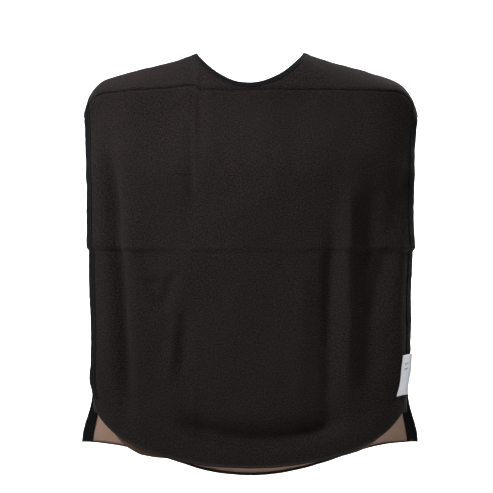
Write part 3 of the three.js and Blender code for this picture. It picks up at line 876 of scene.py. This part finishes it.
def stepped(a, s, direction, distance):
    """Surface coordinates a distance away from a and s, in a direction given in space."""
    u = (plain(a + 0.002, s) - plain(a - 0.002, s)) / 0.004
    v = (plain(a, s + 0.5 * MM) - plain(a, s - 0.5 * MM)) / MM
    uu, uv, vv = np.sum(u * u, -1), np.sum(u * v, -1), np.sum(v * v, -1)
    du, dv = np.sum(u * direction, -1) * distance, np.sum(v * direction, -1) * distance
    scale = uu * vv - uv * uv
    return a + (vv * du - uv * dv) / scale, s + (uu * dv - uv * du) / scale


def neck_lines(count=260):
    angle = np.linspace(-math.pi, math.pi, count + 1)[:-1]
    edge = neck_at(angle)
    tangent = plain(*neck_at(angle + 0.02)) - plain(*neck_at(angle - 0.02))
    away = unit(np.cross(tangent, normals_of(plain, *edge)))
    return edge, stepped(*edge, away, NECK_TAPE_WIDTH)


# ---- stitches ----
STITCH_SIDES = 6


def stitches(name, a, s, pitch=3.0 * MM, length=2.3 * MM, radius=0.28 * MM, offset=0.0):
    """A row of short thread loops along a line of the surface, each a capsule sunk at both ends."""
    line, normal = place(a, s, offset), normals_of(folded, a, s)
    travelled = np.concatenate([[0], np.cumsum(np.linalg.norm(np.diff(line, axis=0), axis=-1))])
    starts = np.arange(0.5 * pitch, travelled[-1] - pitch, pitch)
    sunk = np.array([-0.35, 0.12, 0.22, 0.12, -0.35]) * MM
    at = starts[:, None] + np.linspace(0, length, len(sunk))
    middle = np.stack([np.interp(at, travelled, line[:, i]) for i in range(3)], axis=-1)
    up = unit(np.stack([np.interp(at, travelled, normal[:, i]) for i in range(3)], axis=-1))
    middle = middle + up * sunk[:, None]
    ahead = unit(np.gradient(middle, axis=1))
    across = np.cross(ahead, up)
    size = radius * np.array([0.55, 1, 1, 1, 0.55])[:, None, None]
    turn = np.linspace(0, math.tau, STITCH_SIDES, endpoint=False)[:, None]
    ring = across[:, :, None] * np.cos(turn) + up[:, :, None] * np.sin(turn)
    points = (middle[:, :, None] + size * ring).reshape(-1, 3)
    uv = np.stack(np.broadcast_arrays(turn[:, 0] * radius, at[:, :, None]), axis=-1).reshape(-1, 2)
    each = len(sunk) * STITCH_SIDES
    one = grid_faces(len(sunk), STITCH_SIDES, ring=True)
    one += [list(range(STITCH_SIDES))[::-1], list(range(each - STITCH_SIDES, each))]
    faces = [[corner + k * each for corner in face] for k in range(len(starts)) for face in one]
    piece = object_of(name, points, faces, uv, THREAD_FINISH)
    recalculate_outside(piece)
    return piece


# ---- straps, patches and the label ----
STRAP_HEIGHT, STRAP_THICKNESS, STRAP_STEP = 32 * MM, 1.5 * MM, 2.5 * MM
PATCH_LENGTH, PATCH_HEIGHT, PATCH_THICKNESS = 24 * MM, 28 * MM, 1.2 * MM


def box_middle(node):
    low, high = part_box(node)
    return (np.array(low) + np.array(high)) / 2


def patch_piece(name, node, direction, faces_out, finish):
    """A thin upright patch with round corners, whose length runs along direction."""
    middle = box_middle(node)
    direction = np.array(direction)
    out = np.array(faces_out)
    up = np.array([0, 0, 1.0])
    corner = 3 * MM
    outline = []
    for k in range(4):
        sign_x, sign_z = ((1, 1), (-1, 1), (-1, -1), (1, -1))[k]
        centre = np.array([sign_x * (PATCH_LENGTH / 2 - corner), sign_z * (PATCH_HEIGHT / 2 - corner)])
        for angle in np.linspace(k * math.pi / 2, (k + 1) * math.pi / 2, 6):
            outline.append(centre + corner * np.array([math.cos(angle), math.sin(angle)]))
    outline = np.array(outline)
    rings = [(0.86, -0.5), (0.97, -0.5), (1.0, -0.3), (1.0, 0.3), (0.97, 0.5), (0.86, 0.5)]
    points, uv = [], []
    for scale, depth in rings:
        for x, z in outline:
            points.append(middle + direction * x * scale + up * z * scale + out * depth * PATCH_THICKNESS)
            uv.append((x * scale, z * scale))
    n = len(outline)
    faces = grid_faces(len(rings), n, ring=True)
    faces.append(list(range(n))[::-1])
    faces.append([(len(rings) - 1) * n + i for i in range(n)])
    piece = object_of(name, np.array(points), faces, np.array(uv), finish)
    recalculate_outside(piece)
    return piece


def rounded_path(corners, step):
    """A smooth curve through given points, sampled evenly."""
    corners = np.array(corners)
    knots = np.concatenate([[0], np.cumsum(np.linalg.norm(np.diff(corners, axis=0), axis=-1))])
    fine = np.linspace(0, knots[-1], 400)
    line = np.stack([np.interp(fine, knots, corners[:, i]) for i in range(corners.shape[1])], axis=-1)
    window = np.hanning(25)
    window /= window.sum()
    padded = np.concatenate([np.repeat(line[:1], 12, 0), line, np.repeat(line[-1:], 12, 0)])
    line = np.stack([np.convolve(padded[:, i], window, "valid") for i in range(line.shape[1])], axis=-1)
    travelled = np.concatenate([[0], np.cumsum(np.linalg.norm(np.diff(line, axis=0), axis=-1))])
    even = np.linspace(0, travelled[-1], int(travelled[-1] / step) + 1)
    return np.stack([np.interp(even, travelled, line[:, i]) for i in range(line.shape[1])], axis=-1), even


def fastening_direction(side):
    """Along the front panel towards its side edge, level, where the strap is fastened."""
    low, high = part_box("front_right_loop_patch")
    span = math.atan2(high[1] - low[1], high[0] - low[0])
    return np.array([side * math.cos(span), math.sin(span), 0.0])


def strap_line(side):
    out = fastening_direction(side)[:2]
    inwards = np.array([-side * abs(out[1]), abs(out[0])])
    hook = box_middle(("right" if side > 0 else "left") + "_strap_hook_patch")[:2]
    start = hook + inwards * (PATCH_THICKNESS / 2 + 0.3 * MM + STRAP_THICKNESS / 2)
    half = PATCH_LENGTH / 2
    anchor = box_middle(("back_right" if side > 0 else "back_left") + "_anchor_patch")[:2]
    end_y = anchor[1] - PATCH_THICKNESS / 2 - 0.3 * MM - STRAP_THICKNESS / 2
    side_points = [(0.267, -0.030), (0.271, 0.0), (0.272, 0.035), (0.271, 0.066), (0.267, 0.082)]
    line = [start - out * half, start + out * half]
    line += [np.array([side * x, y]) for x, y in side_points]
    line += [np.array([side * abs(anchor[0]), end_y]), np.array([anchor[0] - side * half, end_y])]
    return line


def strap_piece(name, side):
    line, travelled = rounded_path(strap_line(side), STRAP_STEP)
    ahead = unit(np.gradient(line, axis=0))
    across = np.stack([-ahead[:, 1], ahead[:, 0]], axis=-1)
    half_height, half = STRAP_HEIGHT / 2, STRAP_THICKNESS / 2
    heights = np.linspace(-half_height, half_height, 9)
    sag = 1.5 * MM * np.sin(math.pi * travelled / travelled[-1])
    sections, uv = [], []
    for k in range(len(line)):
        section, marks = [], []
        for direction in (1, -1):
            for z in heights[:: direction]:
                edge = half if abs(z) < half_height - 0.1 * MM else 0.45 * half
                xy = line[k] + across[k] * edge * direction
                section.append((xy[0], xy[1], STRAP_Z + z - sag[k]))
                marks.append((z, travelled[k]))
        sections.append(section)
        uv.append(marks)
    return swept_piece(name, np.array(sections), np.array(uv), WEBBING_FINISH)


# The width is as seen from the front. The label lies on cloth that curls away, so it is wider flat.
LABEL_WIDTH, LABEL_HEIGHT, LABEL_PAST_EDGE = 23 * MM, 69 * MM, 3 * MM
LABEL_LIFT, LABEL_THICKNESS = 1.4 * MM, 0.45 * MM


def label_face():
    """The right side of the satin label, sewn over the right side binding and lying on the front."""
    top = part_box("side_label")[1][2]
    down = np.linspace(0, 1, 40)[:, None]
    inwards = np.linspace(0, 1, 16)[None, :]
    z = top - LABEL_HEIGHT * down - 1.5 * MM * inwards
    reach = inwards * LABEL_WIDTH - LABEL_PAST_EDGE
    a = np.minimum(1 - reach / HALF_WIDTH, 1) + 0 * z
    lift = LABEL_LIFT + 1.3 * MM * inwards**2 + 0.6 * MM * np.sin(7 * down + 2 * inwards)
    face = place(a, z - seam_z(a), lift)
    overhang = np.maximum(0, -reach)[..., None] + 0 * face
    face = face + overhang * np.array([0.9, 0.3, 0])
    uv = np.stack([inwards * LABEL_WIDTH + 0 * down, (1 - down) * LABEL_HEIGHT + 0 * inwards], axis=-1)
    return face[::-1, ::-1], uv[::-1, ::-1]


# ---- making the pieces ----
def flat_area(a, s):
    """The area of a grid of the unfolded surface."""
    points = plain(a, s)
    across = np.diff(points, axis=1)[:-1]
    along = np.diff(points, axis=0)[:, :-1]
    return float(np.linalg.norm(np.cross(across, along), axis=-1).sum())


def grid_size(points):
    """The width and length of a grid of points, each along its longest line."""
    width = np.linalg.norm(np.diff(points, axis=1), axis=-1).sum(axis=1).max()
    length = np.linalg.norm(np.diff(points, axis=0), axis=-1).sum(axis=0).max()
    return float(width), float(length)


def hang(piece):
    """Bakes a panel's piece's placement into its mesh."""
    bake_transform(piece)


def make_yoke():
    cloth = yoke_layer("yoke_cloth", CLOTH, CLOTH_FINISH)
    mark_creases_and_hem_highlight(cloth, FRONT_PRESSES)
    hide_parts("yoke_outer_fabric")
    lining = yoke_layer("yoke_inner_lining", LINING, LINING_FINISH)
    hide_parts("yoke_lining")
    leads = []
    for which, layer in (("outer", LEAD_OUTER), ("inner", LEAD_INNER)):
        lead = yoke_layer(f"yoke_lead_{which}", layer, LEAD_FINISH, trimmed=True)
        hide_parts(f"yoke_lead_sheet_{which}")
        leads.append(lead)
    edge, leg = neck_lines()
    neck = tape_piece("neck_tape", edge, leg, loop=True)
    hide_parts("neckline_binding")
    trims = [neck]
    for side, word in ((-1, "left"), (1, "right")):
        tape = yoke_side_tape(f"yoke_{word}_tape", side)
        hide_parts(f"yoke_{word}_binding")
        trims.append(tape)
    seam_a = np.linspace(-0.955, 0.955, 300)
    front_thread = stitches("front_seam_stitches", seam_a, np.full_like(seam_a, 1.9 * MM), radius=0.22 * MM)
    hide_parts("front_seam_thread")
    back_s = yoke_depth(seam_a) - 1.9 * MM
    back_thread = stitches("back_seam_stitches", seam_a, back_s, radius=0.22 * MM)
    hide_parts("back_seam_thread")
    neck_in = [edge[k] + (leg[k] - edge[k]) * 0.82 for k in (0, 1)]
    neck_thread = stitches("neck_stitches", *neck_in, offset=TAPE_OUTSIDE)
    trims += [front_thread, back_thread, neck_thread]
    for piece in (cloth, lining, *leads, *trims):
        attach(piece, "yoke")
    area = flat_area(*yoke_grid())
    across = np.linspace(-1, 1, 121)
    size = grid_size(plain(across, yoke_depth(across) * np.linspace(0, 1, 41)[:, None]))


def make_panel(word, front):
    cloth = panel_cloth(f"{word}_cloth", front)
    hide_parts(f"{word}_outer_fabric", f"{word}_hem_facing")
    lining = panel_layer(f"{word}_inner_lining", front, LINING, LINING_FINISH)
    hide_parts(f"{word}_lining")
    leads = []
    for which, layer in (("outer", LEAD_OUTER), ("inner", LEAD_INNER)):
        lead = panel_layer(f"{word}_lead_{which}", front, layer, LEAD_FINISH, trimmed=True)
        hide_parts(f"{word}_lead_sheet_{which}")
        leads.append(lead)
    trims = []
    for side, name in ((-1, "left"), (1, "right")):
        tape = side_tape(f"{word}_{name}_tape", side, front)
        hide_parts(f"{word}_{name}_binding")
        hem = (front_hem if front else back_hem)(np.array([float(side)]))[0]
        drop = np.linspace(2 * MM, hem - 2 * MM, 200)
        a = np.full_like(drop, side)
        s = -drop if front else yoke_depth(a) + drop
        a_leg, s_leg = side_leg(a, s, front)
        row_a, row_s = a + (a_leg - a) * 0.84, s + (s_leg - s) * 0.84
        thread = stitches(f"{word}_{name}_stitches", row_a, row_s, offset=TAPE_OUTSIDE)
        trims += [tape, thread]
        if front:
            trims.append(lining_edge(side))
    for piece in (cloth, lining, *leads, *trims):
        hang(piece)
    a, s = panel_grid(front, 61, 60)
    width, length = grid_size(plain(a, s))
    area = flat_area(a, s)


# Along the hem as shares of the half width, and the widest strip at each side.
LINING_EDGE_FROM, LINING_EDGE_TO = 0.40, 0.96
LINING_EDGE_WIDTHS = {-1: 14 * MM, 1: 9 * MM}
LINING_EDGE_OVERLAP, LINING_EDGE_THICKNESS = 4 * MM, 0.5 * MM


def lining_edge(side):
    """The strip of the front's lining that turns out below the hem, beside each lower corner."""
    a = side * np.linspace(LINING_EDGE_FROM, LINING_EDGE_TO, 60)[:: side]
    along = (np.abs(a) - LINING_EDGE_FROM) / (LINING_EDGE_TO - LINING_EDGE_FROM)
    width = LINING_EDGE_WIDTHS[side] * np.sin(math.pi * along**1.7) ** 0.8
    rows = np.linspace(0, 1, 7)[:, None]
    s = -(front_hem(a) - LINING_EDGE_OVERLAP) - (LINING_EDGE_OVERLAP + width) * (1 - rows)
    offset = HEM_INSIDE - 0.5 * MM - 2.5 * MM * np.sin(math.pi / 2 * (1 - rows)) + 0 * a
    grid_a = np.broadcast_to(a, s.shape)
    word = "left" if side < 0 else "right"
    # The strip's dark finish is painted shade, the hem's shadow falling on it.
    strip = cloth_piece(f"front_{word}_lining_edge", place(grid_a, s, offset), LINING_EDGE_THICKNESS,
                        cloth_uv(grid_a, s), LINING_EDGE_SHADE_FINISH)
    return strip


def make_straps():
    for side, word in ((-1, "left"), (1, "right")):
        direction = fastening_direction(side)
        out = np.array([side * abs(direction[1]), -abs(direction[0]), 0])
        loop = patch_piece(f"{word}_loop_patch", f"front_{word}_loop_patch", direction, out, PATCH_FINISH)
        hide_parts(f"front_{word}_loop_patch")
        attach(loop, "front_panel")
        hook = patch_piece(f"{word}_hook_patch", f"{word}_strap_hook_patch", direction, out, PATCH_FINISH)
        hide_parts(f"{word}_strap_hook_patch")
        strap = strap_piece(f"{word}_strap_webbing", side)
        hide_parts(f"{word}_side_strap")
        for piece in (hook, strap):
            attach(piece, f"{word}_strap")
        sewn_on = f"back_{word}_anchor_patch"
        anchor = patch_piece(f"{word}_anchor", sewn_on, (1, 0, 0), (0, -1, 0), WEBBING_FINISH)
        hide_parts(sewn_on)
        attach(anchor, "back_panel")
        length = float(rounded_path(strap_line(side), STRAP_STEP)[1][-1])


def make_label():
    face, uv = label_face()
    label = cloth_piece("satin_side_label", face, LABEL_THICKNESS, uv, LABEL_FINISH)
    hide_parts("side_label")
    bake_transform(label)


# ---- studio ----
CAMERA_DISTANCE = 2.2
CAMERA_Z = -0.3355
FOCAL_LENGTH = 92.6
SIDE_SHIFT = -0.0075
FLOOR_Z = -1.0


def make_camera():
    data = bpy.data.cameras.new("camera")
    data.lens = FOCAL_LENGTH
    data.shift_x = SIDE_SHIFT
    camera = bpy.data.objects.new("camera", data)
    camera.location = (0, -CAMERA_DISTANCE, CAMERA_Z)
    camera.rotation_euler = (math.pi / 2, 0, 0)
    bpy.context.scene.collection.objects.link(camera)
    bpy.context.scene.camera = camera


def make_stage():
    size, bend_radius = 9.0, 1.5
    profile = [(-size, FLOOR_Z), (size / 2, FLOOR_Z)]
    for angle in np.linspace(-math.pi / 2, 0, 14):
        y = size / 2 + bend_radius * math.cos(angle)
        profile.append((y, FLOOR_Z + bend_radius * (1 + math.sin(angle))))
    profile.append((size / 2 + bend_radius, 7.0))
    points = np.array([(x, y, z) for x in (-size, size) for y, z in profile])
    n = len(profile)
    faces = [[k, k + n, k + n + 1, k + 1] for k in range(n - 1)]
    floor = object_of("floor", points, faces, points[:, :2], studio_paper())


def make_light(name, place_at, size, power, spread, towards=(0, 0, -0.35)):
    data = bpy.data.lights.new(name, "AREA")
    data.size = size
    data.energy = power
    data.spread = math.radians(spread)
    light = bpy.data.objects.new(name, data)
    light.location = place_at
    light.rotation_euler = (Vector(towards) - Vector(place_at)).to_track_quat("-Z", "Y").to_euler()
    bpy.context.scene.collection.objects.link(light)


def make_lights():
    make_light("key", (-1.2, -1.25, 0.92), 0.6, 4.5, spread=50, towards=(0, 0, -0.24))
    make_light("fill", (2.2, -2.6, 0.5), 2.0, 0.3, spread=60)
    make_light("back", (1.7, 1.5, 1.2), 0.9, 7, spread=60)
    for name, side in (("floor_left", -1), ("floor_right", 1)):
        make_light(name, (side * 2.9, 2.6, 3.6), 3.4, 260, towards=(side * 0.9, 4.6, -1), spread=110)
    world = bpy.data.worlds.new("studio")
    world.use_nodes = True
    background = world.node_tree.nodes["Background"]
    background.inputs["Color"].default_value = (1, 1, 1, 1)
    background.inputs["Strength"].default_value = 0.2
    bpy.context.scene.world = world
    bpy.context.scene.view_settings.view_transform = "Standard"


make_camera()
make_stage()
make_lights()
make_yoke()
make_panel("front", True)
make_panel("back", False)
make_straps()
make_label()
